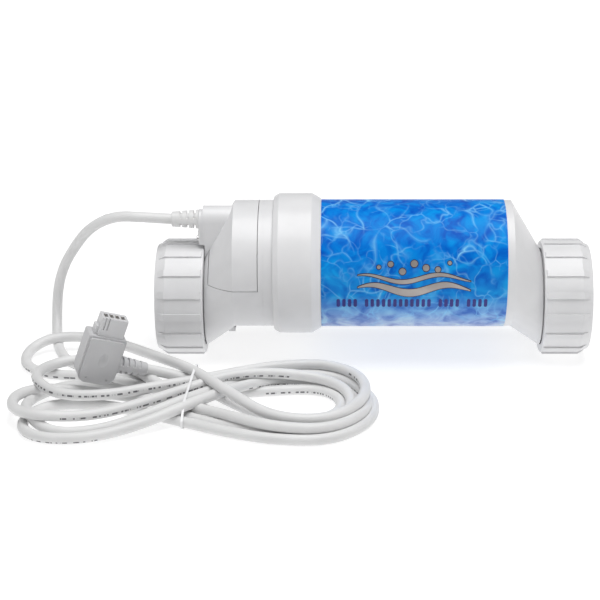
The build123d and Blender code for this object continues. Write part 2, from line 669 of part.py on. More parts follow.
def plug_insert():
    """The connector block that stands out of the shell, with a keying ledge and its contact cavities."""
    low = PLUG_HEIGHT / 2 - INSERT_BITE
    high = PLUG_HEIGHT / 2 + INSERT_HEIGHT
    half_width = INSERT_WIDTH / 2
    half_depth = INSERT_THICKNESS / 2
    insert = block(INSERT_X - half_width, INSERT_X + half_width, -half_depth, half_depth, low, high)
    insert = fillet(insert.edges().filter_by(Axis.Z), 0.8)
    ledge_x = INSERT_X - half_width
    ledge_top = PLUG_HEIGHT / 2 + LEDGE_HEIGHT
    insert = insert + block(ledge_x - LEDGE_WIDTH, ledge_x + 1, -4.0, 4.0, PLUG_HEIGHT / 2, ledge_top)
    for i in range(CONTACT_COUNT):
        x = contact_x(i)
        insert = insert - block(x - 1.6, x + 1.6, -2.6, 2.6, high - CAVITY_DEPTH, high + 1)
    for x in (ledge_x + 3.4, ledge_x + 6.2):
        insert = insert - block(x - 0.5, x + 0.5, -half_depth - 1, 1.2 - half_depth, high - 10.0, high + 1)
    return on_plug(insert)


def plug_contacts():
    """The four brass contacts, each a slotted tube on the floor of its cavity."""
    floor = PLUG_HEIGHT / 2 + INSERT_HEIGHT - CAVITY_DEPTH
    contacts = []
    for i in range(CONTACT_COUNT):
        barrel = Cylinder(CONTACT_R, 7.0) - Cylinder(0.7, 7.0) - Box(0.4, 4.0, 7.0)
        barrel = barrel + Pos(0, 0, -3.1) * Cylinder(CONTACT_R, 0.8)
        contacts.append(on_plug(Pos(contact_x(i), 0, floor + 3.5) * barrel))
    return Compound(children=contacts)


def plug_side(shape):
    """Turns a shape made about +Z to come out of the plug's right side."""
    return on_plug(Pos(PLUG_WIDTH / 2, 0, PLUG_RELIEF_Z) * Rot(0, 90, 0) * shape)


def plug_relief():
    shape = slit_relief(PLUG_RELIEF_LENGTH, PLUG_RELIEF_BASE_R, PLUG_RELIEF_TIP_R, PLUG_SLITS)
    return plug_side(shape)


def cord_tail():
    """The short end of the cord between the hank and the plug's strain relief."""
    return plug_side(Pos(0, 0, PLUG_RELIEF_LENGTH + TAIL_LENGTH / 2) * Cylinder(CORD_R, TAIL_LENGTH))


PARTS = {
    "cell_body": cell_body(),
    "label_wrap": label_wrap(),
    "collar_ring": collar_ring(),
    "body_seal": body_seal(),
    "end_cap": end_cap(),
    "terminal_cover": terminal_cover(),
    "cover_plate": cover_plate(),
    "plate_screws": plate_screws(),
    "strain_relief": strain_relief(),
    "anode_plates": blades(0, ANODE_POST[1]),
    "cathode_plates": blades(1, CATHODE_POST[1]),
    "anode_bus": bus_bar(ANODE_POST),
    "cathode_bus": bus_bar(CATHODE_POST),
    "plate_combs": plate_combs(),
    "terminal_seals": terminal_seals(),
    "terminal_nuts": terminal_nuts(),
    "power_wires": power_wires(),
    "temperature_sensor": temperature_sensor(),
    "inlet_seal": union_seal(-1),
    "inlet_tailpiece": tailpiece(-1),
    "inlet_nut": union_nut(-1),
    "outlet_seal": union_seal(1),
    "outlet_tailpiece": tailpiece(1),
    "outlet_nut": union_nut(1),
    "cord_lead": cord_lead(),
    "cord_hank": cord_hank(),
    "cord_tail": cord_tail(),
    "hank_tie": hank_tie(),
    "plug_body": plug_body(),
    "plug_insert": plug_insert(),
    "plug_contacts": plug_contacts(),
    "plug_relief": plug_relief(),
}

os.makedirs("parts", exist_ok=True)
for name, shape in PARTS.items():
    export_step(shape, f"parts/{name}.step")
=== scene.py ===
import math

import bpy
import numpy as np
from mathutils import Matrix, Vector


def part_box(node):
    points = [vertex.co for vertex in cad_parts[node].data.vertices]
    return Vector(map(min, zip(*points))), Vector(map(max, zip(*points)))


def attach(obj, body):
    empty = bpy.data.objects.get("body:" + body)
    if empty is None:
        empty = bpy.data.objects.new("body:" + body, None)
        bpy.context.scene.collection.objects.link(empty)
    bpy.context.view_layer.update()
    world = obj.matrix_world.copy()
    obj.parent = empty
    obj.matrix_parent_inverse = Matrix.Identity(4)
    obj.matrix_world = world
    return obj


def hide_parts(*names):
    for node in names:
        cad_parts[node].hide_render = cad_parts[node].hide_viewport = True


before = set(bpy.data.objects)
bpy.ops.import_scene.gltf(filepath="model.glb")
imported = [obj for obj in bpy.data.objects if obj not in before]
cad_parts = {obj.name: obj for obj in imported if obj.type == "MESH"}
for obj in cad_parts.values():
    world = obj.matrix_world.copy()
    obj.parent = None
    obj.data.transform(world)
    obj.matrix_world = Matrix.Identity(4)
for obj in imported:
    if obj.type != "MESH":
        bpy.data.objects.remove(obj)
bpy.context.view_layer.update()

# Lengths are in metres, except the hank's turns, which are given in millimetres.

# ---------------------------------------------------------------- places taken from the frame
CORD_EXIT_Z = 0.116
film_low, film_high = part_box("label_wrap")
AXIS_Z = (film_low.z + film_high.z) / 2
LABEL_R = (film_high.z - film_low.z) / 2

# ---------------------------------------------------------------- camera
CAMERA_ELEVATION = math.radians(22)
CAMERA_DISTANCE = 1.5
CAMERA_TARGET = Vector((-0.0233, 0.0, 0.0445))
CAMERA_LENS = 108
CAMERA_SENSOR = 36
CAMERA_SHIFT_X = -0.075

# ---------------------------------------------------------------- cord route
CORD_D = 0.0086
LYING_Z = 0.0045
TIE_X = -0.144
# Straight out of the strain relief, over in one easy bend and down to the floor behind the hank.
LEAD_ROUTE = [
    (-0.163, 0.0, CORD_EXIT_Z), (-0.187, 0.0, 0.1175), (-0.213, 0.005, 0.1170), (-0.235, 0.0155, 0.103),
    (-0.250, 0.028, 0.082), (-0.2625, 0.0385, 0.060), (-0.269, 0.0405, 0.038), (-0.2695, 0.031, 0.016),
    (-0.267, 0.010, LYING_Z), (-0.261, -0.014, LYING_Z), (-0.253, -0.033, LYING_Z),
    (-0.238, -0.048, LYING_Z), (-0.218, -0.0605, LYING_Z), (-0.195, -0.0725, LYING_Z),
    (-0.170, -0.085, LYING_Z),
]
# How many of the lead's points stay in place while the rest settles.
LEAD_HELD = 11
TAIL_ROUTE = [(-0.1695, -0.0804, 0.0153), (-0.1824, -0.0851, 0.0199)]
# Each turn of the hank: where it crosses the tie on its way out and home (y, z), the lobe's reach in x
# and the length of its round end, its back and front lines in y, and the heights of its back, its tip
# and its front. A left lobe starts and ends where the right lobes beside it cross the tie.
RIGHT_LOBES = [
    dict(out=(-97, 4.5), reach=-4, turn=52, back=-68, front=-181, heights=(5, 5, 5), home=(-150, 4.5)),
    dict(out=(-141, 13), reach=-12, turn=46, back=-78, front=-172, heights=(9, 9, 12), home=(-141, 4.5)),
    dict(out=(-129, 15), reach=-6, turn=50, back=-70, front=-177, heights=(14, 15, 16), home=(-132, 4.5)),
    dict(out=(-113, 21), reach=-17, turn=42, back=-86, front=-162, heights=(16, 18, 18), home=(-123, 5.5)),
    dict(out=(-101, 25), reach=-7, turn=48, back=-68, front=-168, heights=(25, 24, 22), home=(-90, 21)),
    dict(out=(-106, 13), reach=-26, turn=30, back=-89, front=-148, heights=(7, 12, 10), home=(-88.3, 11)),
]
LEFT_LOBES = [
    dict(reach=-269, turn=31, back=-117, front=-179, heights=(4.5, 4.5, 4.5)),
    dict(reach=-270, turn=38, back=-82, front=-173, heights=(6, 9, 10)),
    dict(reach=-279, turn=34, back=-100, front=-162, heights=(10, 14, 17)),
    dict(reach=-268, turn=36, back=-50, front=-124, heights=(20, 19, 20)),
    dict(reach=-286, turn=34, back=0, front=-62, heights=(20, 14, 9)),
]
# A lobe's near and far side points: how far each is from the tie towards the round end, how much of the
# way to the lobe's back or front line it has come by then, and how much of the way to its height.
NEAR_SHARE, FAR_SHARE = 0.36, 0.74
NEAR_SPREAD, FAR_SPREAD = 0.52, 0.95
NEAR_RISE = 0.5
# The round end's points are corners round a half ellipse, a step apart, and so stand outside it.
TIP_STEP = 45
TIP_ANGLES = (1.5 * TIP_STEP, 0.5 * TIP_STEP, -0.5 * TIP_STEP, -1.5 * TIP_STEP)
INNER_TIP_RISE, OUTER_TIP_RISE = 0.8, 0.3
# How the loose turns settle. Samples nearer than OWN_STRETCH along the cord don't push each other.
SETTLE_STEPS = 100
SINKING_STEPS = 80
SINK_PER_STEP = 0.00015
SAMPLES_PER_POINT = 6
OWN_STRETCH = 3.5 * CORD_D
FLOOR_GAP = 0.0001
PUSH_SHARE = 0.5
MOVE_GAIN = 1.2
STIFFNESS = 0.04
PULL_BACK = 0.05
SMALLEST_DISTANCE = 1e-5


def mix(a, b, share):
    return a + (b - a) * share


def lobe_points(start, end, lobe):
    """The eight points of one lobe: out along its back, round its tip on a half ellipse and home."""
    tie = TIE_X * 1000
    side = 1 if lobe["reach"] > tie else -1
    back, front, turn = lobe["back"], lobe["front"], lobe["turn"]
    half, middle = (back - front) / 2, (back + front) / 2
    centre = lobe["reach"] - side * turn
    back_z, tip_z, front_z = lobe["heights"]
    near, far = mix(tie, centre, NEAR_SHARE), mix(tie, centre, FAR_SHARE)
    points = [(near, mix(start[0], back, NEAR_SPREAD), mix(start[1], back_z, NEAR_RISE)),
              (far, mix(start[0], back, FAR_SPREAD), back_z)]
    outside = 1 / math.cos(math.radians(TIP_STEP / 2))
    for degrees in TIP_ANGLES:
        angle = math.radians(degrees)
        side_z = back_z if degrees > 0 else front_z
        z = mix(side_z, tip_z, INNER_TIP_RISE if abs(degrees) < TIP_STEP else OUTER_TIP_RISE)
        points.append((centre + side * turn * outside * math.cos(angle),
                       middle + half * outside * math.sin(angle), z))
    points += [(far, mix(end[0], front, FAR_SPREAD), front_z),
               (near, mix(end[0], front, NEAR_SPREAD), mix(end[1], front_z, NEAR_RISE))]
    return [tuple(value / 1000 for value in point) for point in points]


def tie_point(place):
    return (TIE_X, place[0] / 1000, place[1] / 1000)


def loose_route():
    """The whole cord before it settles: the lead, the figure-of-eight turns and the end to the plug."""
    route = list(LEAD_ROUTE)
    for i, right in enumerate(RIGHT_LOBES):
        route.append(tie_point(right["out"]))
        route.extend(lobe_points(right["out"], right["home"], right))
        route.append(tie_point(right["home"]))
        if i < len(LEFT_LOBES):
            route.extend(lobe_points(right["home"], RIGHT_LOBES[i + 1]["out"], LEFT_LOBES[i]))
    return route + TAIL_ROUTE


def curve_shares(count):
    """How much each of the route's points counts at each sample of its order 3 curve."""
    rows = []
    for k in range(1, count - 1):
        for j in range(SAMPLES_PER_POINT):
            u = (j + 0.5) / SAMPLES_PER_POINT
            before = (1 - u) ** 2 * (1 if k == 1 else 0.5)
            after = u ** 2 * (1 if k == count - 2 else 0.5)
            row = np.zeros(count)
            row[k - 1:k + 2] = before, 1 - before - after, after
            rows.append(row)
    return np.array(rows)


def settle(route, held_start, held_end):
    """Lets the turns sink onto the floor and onto each other, and pushes apart those that overlap."""
    places = np.array(route)
    wanted = places.copy()
    share = curve_shares(len(places))
    weight = share.sum(axis=0)[:, None]
    free = np.ones((len(places), 1))
    free[:held_start] = 0
    free[len(places) - held_end:] = 0
    samples = share @ places
    step = np.linalg.norm(np.diff(samples, axis=0), axis=1).mean()
    order = np.arange(len(samples))
    neighbours = np.abs(order[:, None] - order[None]) * step < OWN_STRETCH
    lowest = CORD_D / 2 + FLOOR_GAP
    for i in range(SETTLE_STEPS):
        samples = share @ places
        gap = samples[:, None] - samples[None]
        distance = np.linalg.norm(gap, axis=2)
        touching = (distance < CORD_D) & ~neighbours
        push = np.where(touching, (CORD_D - distance) / np.maximum(distance, SMALLEST_DISTANCE), 0)
        move = PUSH_SHARE * (gap * push[:, :, None]).sum(axis=1)
        move /= np.sqrt(np.maximum(touching.sum(axis=1), 1))[:, None]
        if i < SINKING_STEPS:
            move[:, 2] -= SINK_PER_STEP
        move[:, 2] += np.maximum(lowest - samples[:, 2] - move[:, 2], 0)
        places = places + free * (share.T @ move) / weight * MOVE_GAIN
        bend = np.zeros_like(places)
        bend[1:-1] = (places[:-2] + places[2:]) / 2 - places[1:-1]
        places[:, 2:] += STIFFNESS * free * bend[:, 2:]
        places[:, :2] += PULL_BACK * free * (wanted[:, :2] - places[:, :2])
        places[:, 2] = np.maximum(places[:, 2], lowest)
    return places


cord_route = settle(loose_route(), LEAD_HELD, len(TAIL_ROUTE))


# ---------------------------------------------------------------- parts of a material
BLACK, WHITE = (0, 0, 0), (1, 1, 1)


def new_material(name):
    material = bpy.data.materials.new(name)
    material.use_nodes = True
    shader = material.node_tree.nodes["Principled BSDF"]
    return material, material.node_tree.nodes, material.node_tree.links, shader


def add_node(nodes, kind, inputs=None, **settings):
    """A new node, with its settings and the constant values of some of its inputs."""
    node = nodes.new(kind)
    for name, value in settings.items():
        setattr(node, name, value)
    for name, value in (inputs or {}).items():
        node.inputs[name].default_value = value
    return node


def add_ramp(nodes, stops):
    """A colour ramp from (position, colour) stops."""
    ramp = nodes.new("ShaderNodeValToRGB")
    elements = ramp.color_ramp.elements
    elements[0].position, elements[1].position = stops[0][0], stops[-1][0]
    elements[0].color, elements[1].color = (*stops[0][1], 1), (*stops[-1][1], 1)
    for position, colour in stops[1:-1]:
        elements.new(position).color = (*colour, 1)
    return ramp


def add_math(nodes, links, operation, *operands):
    """The output of a maths node. An operand is a constant or another node's output."""
    node = add_node(nodes, "ShaderNodeMath", operation=operation)
    for socket, operand in zip(node.inputs, operands):
        if isinstance(operand, (int, float)):
            socket.default_value = operand
        else:
            links.new(operand, socket)
    return node.outputs["Value"]


def multiply_colours(nodes, links, first, second):
    product = add_node(nodes, "ShaderNodeMix", {"Factor": 1}, data_type="RGBA", blend_type="MULTIPLY")
    links.new(first, product.inputs["A"])
    links.new(second, product.inputs["B"])
    return product.outputs["Result"]


def blend_colours(nodes, links, share, under, over):
    """The colour under, giving way to the constant colour over as the share grows to 1."""
    blend = add_node(nodes, "ShaderNodeMix", data_type="RGBA")
    blend.inputs["B"].default_value = (*over, 1)
    links.new(share, blend.inputs["Factor"])
    links.new(under, blend.inputs["A"])
    return blend.outputs["Result"]


def add_bump(nodes, links, shader, height, strength, distance):
    bump = add_node(nodes, "ShaderNodeBump", {"Strength": strength, "Distance": distance})
    links.new(height, bump.inputs["Height"])
    links.new(bump.outputs["Normal"], shader.inputs["Normal"])


def add_gloss(nodes, links, shader, noise, low, high):
    """Roughness between two values, as a noise says."""
    gloss = add_node(nodes, "ShaderNodeMapRange", {"To Min": low, "To Max": high})
    links.new(noise, gloss.inputs["Value"])
    links.new(gloss.outputs["Result"], shader.inputs["Roughness"])


# ---------------------------------------------------------------- plain materials
GRAIN_DETAIL = 4
GRAIN_DEPTH = 0.0003
VARIATION_SCALE = 35
VARIATION_DETAIL = 3
VARIATION_LOW, VARIATION_HIGH = 0.3, 0.7
GLOSSIER, DULLER = 0.05, 0.06
COAT_ROUGHNESS = 0.12


def add_grain(nodes, links, shader, place, scale, strength):
    """A fine bump from noise."""
    noise = add_node(nodes, "ShaderNodeTexNoise", {"Scale": scale, "Detail": GRAIN_DETAIL})
    links.new(place, noise.inputs["Vector"])
    add_bump(nodes, links, shader, noise.outputs["Fac"], strength, GRAIN_DEPTH)


def add_variation(nodes, links, shader, place, low, high, rough):
    """Slow changes of colour and gloss, from a second noise."""
    noise = add_node(nodes, "ShaderNodeTexNoise", {"Scale": VARIATION_SCALE, "Detail": VARIATION_DETAIL})
    links.new(place, noise.inputs["Vector"])
    ramp = add_ramp(nodes, [(VARIATION_LOW, low), (VARIATION_HIGH, high)])
    links.new(noise.outputs["Fac"], ramp.inputs["Fac"])
    links.new(ramp.outputs["Color"], shader.inputs["Base Color"])
    add_gloss(nodes, links, shader, noise.outputs["Fac"], rough - GLOSSIER, rough + DULLER)


def plastic(name, low, high, rough, grain_scale=900, grain=0.05, coat=0.0, metallic=0.0):
    """A moulded plastic between two colours, or a metal when metallic is 1."""
    material, nodes, links, shader = new_material(name)
    place = add_node(nodes, "ShaderNodeTexCoord").outputs["Object"]
    add_grain(nodes, links, shader, place, grain_scale, grain)
    add_variation(nodes, links, shader, place, low, high, rough)
    shader.inputs["Metallic"].default_value = metallic
    shader.inputs["Coat Weight"].default_value = coat
    shader.inputs["Coat Roughness"].default_value = COAT_ROUGHNESS
    return material


# ---------------------------------------------------------------- cord jacket
# The printed marks, as shares: U runs once along the cord and V once round it.
MARKS_ALONG = 1000
MARKS_DETAIL = 2
MARK_EDGES = [(0.49, BLACK), (0.53, WHITE)]
GROUP_PITCH = 0.035
GROUP_GAP = 0.014
BAND_MIDDLE, BAND_HALF = 0.2, 0.027
MARK_COLOUR = (0.13, 0.13, 0.14)


def cord_material():
    """The cord's white jacket with a line of small dark marks printed along it."""
    material = plastic("cord_jacket", (0.71, 0.71, 0.71), (0.77, 0.77, 0.77), 0.42,
                       grain_scale=1400, grain=0.08)
    nodes, links = material.node_tree.nodes, material.node_tree.links
    shader = nodes["Principled BSDF"]
    jacket = shader.inputs["Base Color"].links[0].from_socket
    split = add_node(nodes, "ShaderNodeSeparateXYZ")
    links.new(add_node(nodes, "ShaderNodeTexCoord").outputs["UV"], split.inputs["Vector"])
    along, around = split.outputs["X"], split.outputs["Y"]
    noise = add_node(nodes, "ShaderNodeTexNoise", {"Scale": 1, "Detail": MARKS_DETAIL}, noise_dimensions="1D")
    links.new(add_math(nodes, links, "MULTIPLY", along, MARKS_ALONG), noise.inputs["W"])
    marks = add_ramp(nodes, MARK_EDGES)
    links.new(noise.outputs["Fac"], marks.inputs["Fac"])
    group = add_math(nodes, links, "PINGPONG", along, GROUP_PITCH)
    grouped = add_math(nodes, links, "GREATER_THAN", group, GROUP_GAP)
    band = add_math(nodes, links, "COMPARE", around, BAND_MIDDLE, BAND_HALF)
    ink = add_math(nodes, links, "MULTIPLY", marks.outputs["Color"], band)
    shown = add_math(nodes, links, "MULTIPLY", ink, grouped)
    links.new(blend_colours(nodes, links, shown, jacket, MARK_COLOUR), shader.inputs["Base Color"])
    return material


# ---------------------------------------------------------------- water film
# The water's colours from the film's lowest point to its highest, and what its clouds multiply them by.
WATER_BY_HEIGHT = [(0.08, (0.38, 0.47, 0.70)), (0.25, (0.17, 0.34, 0.70)),
                   (0.42, (0.01, 0.24, 0.70)), (0.8, (0.0, 0.18, 0.66))]
WATER_BY_CLOUD = [(0.32, (0.4, 0.5, 0.78)), (0.5, (1, 1, 1)), (0.68, (1.6, 1.55, 1.15))]
CLOUDS = {"Scale": 60, "Detail": 5, "Distortion": 1.2}
# The two nets of sunlit lines: cells in a metre, a line's width as a share of a cell, its strength, and
# how far it wanders. A line's core is that share of its width, and the glow is its colour at the core's edge.
LINE_NETS = ((34, 0.06, 0.9, 0.05), (70, 0.09, 0.55, 0.03))
LINE_COLOUR = (0.26, 0.66, 0.95)
LINE_CORE = 0.4
LINE_GLOW = (0.35, 0.35, 0.35)
FADE_SCALE = 0.7
FADE_DETAIL = 2
FADE_LOW, FADE_HIGH = 0.42, 0.68
WANDER_SCALE = 0.8
FILM_ROUGH_LOW, FILM_ROUGH_HIGH = 0.25, 0.4
FILM_SPECULAR = 0.06
RIPPLE_STRENGTH, RIPPLE_DEPTH = 0.04, 0.0004


def warped_place(nodes, links, place, scale, amount):
    """Object space pushed about by noise, so that lines drawn in it wander."""
    noise = add_node(nodes, "ShaderNodeTexNoise", {"Scale": scale, "Detail": 1})
    shift = add_node(nodes, "ShaderNodeVectorMath", operation="MULTIPLY_ADD")
    shift.inputs[1].default_value = (amount, amount, amount)
    links.new(place, noise.inputs["Vector"])
    links.new(noise.outputs["Color"], shift.inputs[0])
    links.new(place, shift.inputs[2])
    return shift.outputs["Vector"]


def light_lines(nodes, links, place, scale, width, strength):
    """Bright wandering lines such as sun makes through water, fading in and out along their length."""
    cells = add_node(nodes, "ShaderNodeTexVoronoi", {"Scale": scale}, feature="DISTANCE_TO_EDGE")
    lines = add_ramp(nodes, [(0.0, WHITE), (width * LINE_CORE, LINE_GLOW), (width, BLACK)])
    fade = add_node(nodes, "ShaderNodeTexNoise", {"Scale": scale * FADE_SCALE, "Detail": FADE_DETAIL})
    shown = add_ramp(nodes, [(FADE_LOW, BLACK), (FADE_HIGH, (strength, strength, strength))])
    links.new(place, cells.inputs["Vector"])
    links.new(cells.outputs["Distance"], lines.inputs["Fac"])
    links.new(place, fade.inputs["Vector"])
    links.new(fade.outputs["Fac"], shown.inputs["Fac"])
    return multiply_colours(nodes, links, lines.outputs["Color"], shown.outputs["Color"])


def water_film():
    """Printed film: sunlit water, azure above and lavender below."""
    material, nodes, links, shader = new_material("water_film")
    place = add_node(nodes, "ShaderNodeTexCoord").outputs["Object"]
    split = add_node(nodes, "ShaderNodeSeparateXYZ")
    links.new(place, split.inputs["Vector"])
    height = add_node(nodes, "ShaderNodeMapRange",
                      {"From Min": AXIS_Z - LABEL_R, "From Max": AXIS_Z + LABEL_R})
    links.new(split.outputs["Z"], height.inputs["Value"])
    water = add_ramp(nodes, WATER_BY_HEIGHT)
    links.new(height.outputs["Result"], water.inputs["Fac"])
    clouds = add_node(nodes, "ShaderNodeTexNoise", CLOUDS)
    links.new(place, clouds.inputs["Vector"])
    depth = add_ramp(nodes, WATER_BY_CLOUD)
    links.new(clouds.outputs["Fac"], depth.inputs["Fac"])
    colour = multiply_colours(nodes, links, water.outputs["Color"], depth.outputs["Color"])
    for scale, width, strength, amount in LINE_NETS:
        wandering = warped_place(nodes, links, place, scale * WANDER_SCALE, amount)
        lines = light_lines(nodes, links, wandering, scale, width, strength)
        colour = blend_colours(nodes, links, lines, colour, LINE_COLOUR)
    links.new(colour, shader.inputs["Base Color"])
    add_gloss(nodes, links, shader, clouds.outputs["Fac"], FILM_ROUGH_LOW, FILM_ROUGH_HIGH)
    add_bump(nodes, links, shader, clouds.outputs["Fac"], RIPPLE_STRENGTH, RIPPLE_DEPTH)
    shader.inputs["Specular IOR Level"].default_value = FILM_SPECULAR
    return material


# ---------------------------------------------------------------- the materials and their nodes
white_shell = plastic("white_shell", (0.71, 0.71, 0.72), (0.76, 0.76, 0.77), 0.42, coat=0.15)
cord_jacket = cord_material()
rubber = plastic("rubber", (0.02, 0.02, 0.02), (0.035, 0.035, 0.035), 0.6)
titanium = plastic("titanium", (0.36, 0.35, 0.33), (0.46, 0.45, 0.43), 0.35, metallic=1.0)
coated_titanium = plastic("coated_titanium", (0.05, 0.05, 0.055), (0.09, 0.09, 0.1), 0.5, metallic=0.6)
comb_plastic = plastic("comb_plastic", (0.68, 0.68, 0.69), (0.74, 0.74, 0.75), 0.45)
wire_red = plastic("wire_red", (0.45, 0.03, 0.025), (0.55, 0.05, 0.04), 0.35)
screw_steel = plastic("screw_steel", (0.6, 0.6, 0.6), (0.7, 0.7, 0.7), 0.22, metallic=1.0)
tie_film = plastic("tie_film", (0.86, 0.86, 0.87), (0.92, 0.92, 0.93), 0.25)
plug_shell = plastic("plug_shell", (0.53, 0.53, 0.54), (0.59, 0.59, 0.60), 0.45, grain_scale=1500, grain=0.15)
plug_white = plastic("plug_white", (0.60, 0.60, 0.61), (0.66, 0.66, 0.67), 0.4)
contact_brass = plastic("contact_brass", (0.7, 0.5, 0.2), (0.8, 0.6, 0.28), 0.25, metallic=1.0)
bronze_ink = plastic("bronze_ink", (0.30, 0.27, 0.26), (0.48, 0.44, 0.42), 0.35, metallic=0.4)
dark_ink = plastic("dark_ink", (0.015, 0.015, 0.04), (0.025, 0.025, 0.06), 0.4)
navy_ink = plastic("navy_ink", (0.008, 0.008, 0.16), (0.015, 0.015, 0.22), 0.4)

NODE_MATERIALS = {
    white_shell: ("cell_body", "collar_ring", "end_cap", "terminal_cover", "cover_plate", "inlet_nut",
                  "outlet_nut", "inlet_tailpiece", "outlet_tailpiece"),
    water_film(): ("label_wrap",),
    rubber: ("body_seal", "inlet_seal", "outlet_seal", "terminal_seals"),
    titanium: ("anode_bus", "cathode_bus", "cathode_plates", "terminal_nuts"),
    coated_titanium: ("anode_plates",),
    comb_plastic: ("plate_combs", "temperature_sensor"),
    wire_red: ("power_wires",),
    screw_steel: ("plate_screws",),
    cord_jacket: ("strain_relief", "cord_lead", "cord_hank", "cord_tail"),
    tie_film: ("hank_tie",),
    plug_shell: ("plug_body", "plug_relief"),
    plug_white: ("plug_insert",),
    contact_brass: ("plug_contacts",),
}
for material, names in NODE_MATERIALS.items():
    for name in names:
        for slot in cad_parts[name].material_slots:
            slot.material = material


# ---------------------------------------------------------------- print on the label
# Everything printed is laid out flat: along the tube, and up round it from the front.
INK_LIFT = 0.00006
INK_THICKNESS = 0.00008
INK_ROWS = 4
INK_STACKED = 1.5 * INK_THICKNESS
OUTLINE_WIDTH = 0.0006
# The two waves: middle, height, turns, phase and thickness.
WAVES = ((-0.0025, 0.0035, 1.5, 0.4, 0.0065), (0.0065, 0.0030, 1.5, 1.0, 0.0035))
WAVE_START, WAVE_END = -0.013, 0.077
WAVE_STEPS = 60
WAVE_CUT = 0.02
WAVE_FULLNESS = 0.8
# The row of bubbles over them, the largest in the middle. A cut is the share left off at each end.
BUBBLES = 7
BUBBLE_STEPS = 16
BUBBLE_CUT = 0.03
BUBBLE_R, BUBBLE_GROWTH = 0.0012, 0.0016
BUBBLE_UP, BUBBLE_SCATTER = 0.0155, 0.0035
BUBBLE_PHASE = 2.4
BUBBLE_MARGIN = 0.012
# The bars under them. A bar's half width is a share of the pitch, and its rounding a share of its height.
CAPTION_START, CAPTION_END = -0.031, 0.092
CAPTION_UP = -0.0158
CAPTION_HEIGHT = 0.0082
CAPTION_GROUPS = (4, 12, 4, 4)
BAR_HALF = 0.3
BAR_ROUNDING = 0.25
BAR_STATIONS = (-1, -0.6, 0, 0.6, 1)


def add_mesh(name, vertices, faces, material):
    mesh = bpy.data.meshes.new(name)
    mesh.from_pydata(vertices, [], faces)
    mesh.materials.append(material)
    thing = bpy.data.objects.new(name, mesh)
    bpy.context.scene.collection.objects.link(thing)
    return thing


def on_label(along, up, lift):
    angle = up / LABEL_R
    radius = LABEL_R + lift
    return (along, -radius * math.cos(angle), AXIS_Z + radius * math.sin(angle))


def add_printed(vertices, faces, stations, lift):
    """One thin closed patch of ink between the low and high edges given at each station."""
    start = len(vertices)
    side = INK_ROWS + 1
    for layer in (lift, lift + INK_THICKNESS):
        for along, low, high in stations:
            vertices.extend(on_label(along, mix(low, high, j / INK_ROWS), layer) for j in range(side))
    count = len(stations)
    layer_size = count * side

    def corner(layer, i, j):
        return start + layer * layer_size + i * side + j

    for i in range(count - 1):
        for j in range(INK_ROWS):
            quad = [(i, j), (i + 1, j), (i + 1, j + 1), (i, j + 1)]
            faces.append([corner(1, *place) for place in quad])
            faces.append([corner(0, *place) for place in reversed(quad)])
    rim = [(i, 0) for i in range(count)] + [(count - 1, j) for j in range(1, side)]
    rim += [(i, INK_ROWS) for i in range(count - 2, -1, -1)] + [(0, j) for j in range(INK_ROWS - 1, 0, -1)]
    for here, there in zip(rim, rim[1:] + rim[:1]):
        faces.append([corner(0, *here), corner(0, *there), corner(1, *there), corner(1, *here)])


def swell(centre, height, turns, phase, thickness, grow):
    """A long wave that swells in the middle and thins out to its ends."""
    stations = []
    for i in range(WAVE_STEPS + 1):
        share = i / WAVE_STEPS
        along = mix(WAVE_START - grow, WAVE_END + grow, share)
        middle = centre + height * math.sin(2 * math.pi * turns * share + phase)
        fullness = math.sin(math.pi * mix(WAVE_CUT, 1 - WAVE_CUT, share)) ** WAVE_FULLNESS
        half = thickness / 2 * fullness + grow
        stations.append((along, middle - half, middle + half))
    return stations


def bubble(along, up, radius):
    """A round dot."""
    stations = []
    for i in range(BUBBLE_STEPS + 1):
        angle = math.pi * mix(BUBBLE_CUT, 1 - BUBBLE_CUT, i / BUBBLE_STEPS)
        half = radius * math.sin(angle)
        stations.append((along - radius * math.cos(angle), up - half, up + half))
    return stations


def wave_shapes(grow):
    """The waves and bubbles, each wider all round by the growth."""
    shapes = [swell(*wave, grow) for wave in WAVES]
    for i in range(BUBBLES):
        share = (i + 0.5) / BUBBLES
        along = mix(WAVE_START + BUBBLE_MARGIN, WAVE_END - BUBBLE_MARGIN, share)
        up = BUBBLE_UP + BUBBLE_SCATTER * math.sin(BUBBLE_PHASE * i)
        radius = BUBBLE_R + BUBBLE_GROWTH * math.sin(math.pi * share)
        shapes.append(bubble(along, up, radius + grow))
    return shapes


def caption_bar(centre, half):
    """An upright bar with a slightly rounded head and foot."""
    stations = []
    for t in BAR_STATIONS:
        reach = CAPTION_HEIGHT / 2 * (1 - BAR_ROUNDING * t * t)
        stations.append((centre + half * t, CAPTION_UP - reach, CAPTION_UP + reach))
    return stations


def caption_shapes():
    """A row of plain bars in groups, where a line of lettering would be."""
    cells = sum(CAPTION_GROUPS) + len(CAPTION_GROUPS) - 1
    pitch = (CAPTION_END - CAPTION_START) / cells
    shapes = []
    cell = 0
    for group in CAPTION_GROUPS:
        for _ in range(group):
            shapes.append(caption_bar(CAPTION_START + (cell + 0.5) * pitch, BAR_HALF * pitch))
            cell += 1
        cell += 1
    return shapes


def make_print(name, shapes, lift, material):
    vertices, faces = [], []
    for stations in shapes:
        add_printed(vertices, faces, stations, lift)
    ink = add_mesh(name, vertices, faces, material)
    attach(ink, "cell")


make_print("wave_outline", wave_shapes(OUTLINE_WIDTH), INK_LIFT, dark_ink)
make_print("wave_print", wave_shapes(0.0), INK_LIFT + INK_STACKED, bronze_ink)
make_print("caption_print", caption_shapes(), INK_LIFT, navy_ink)


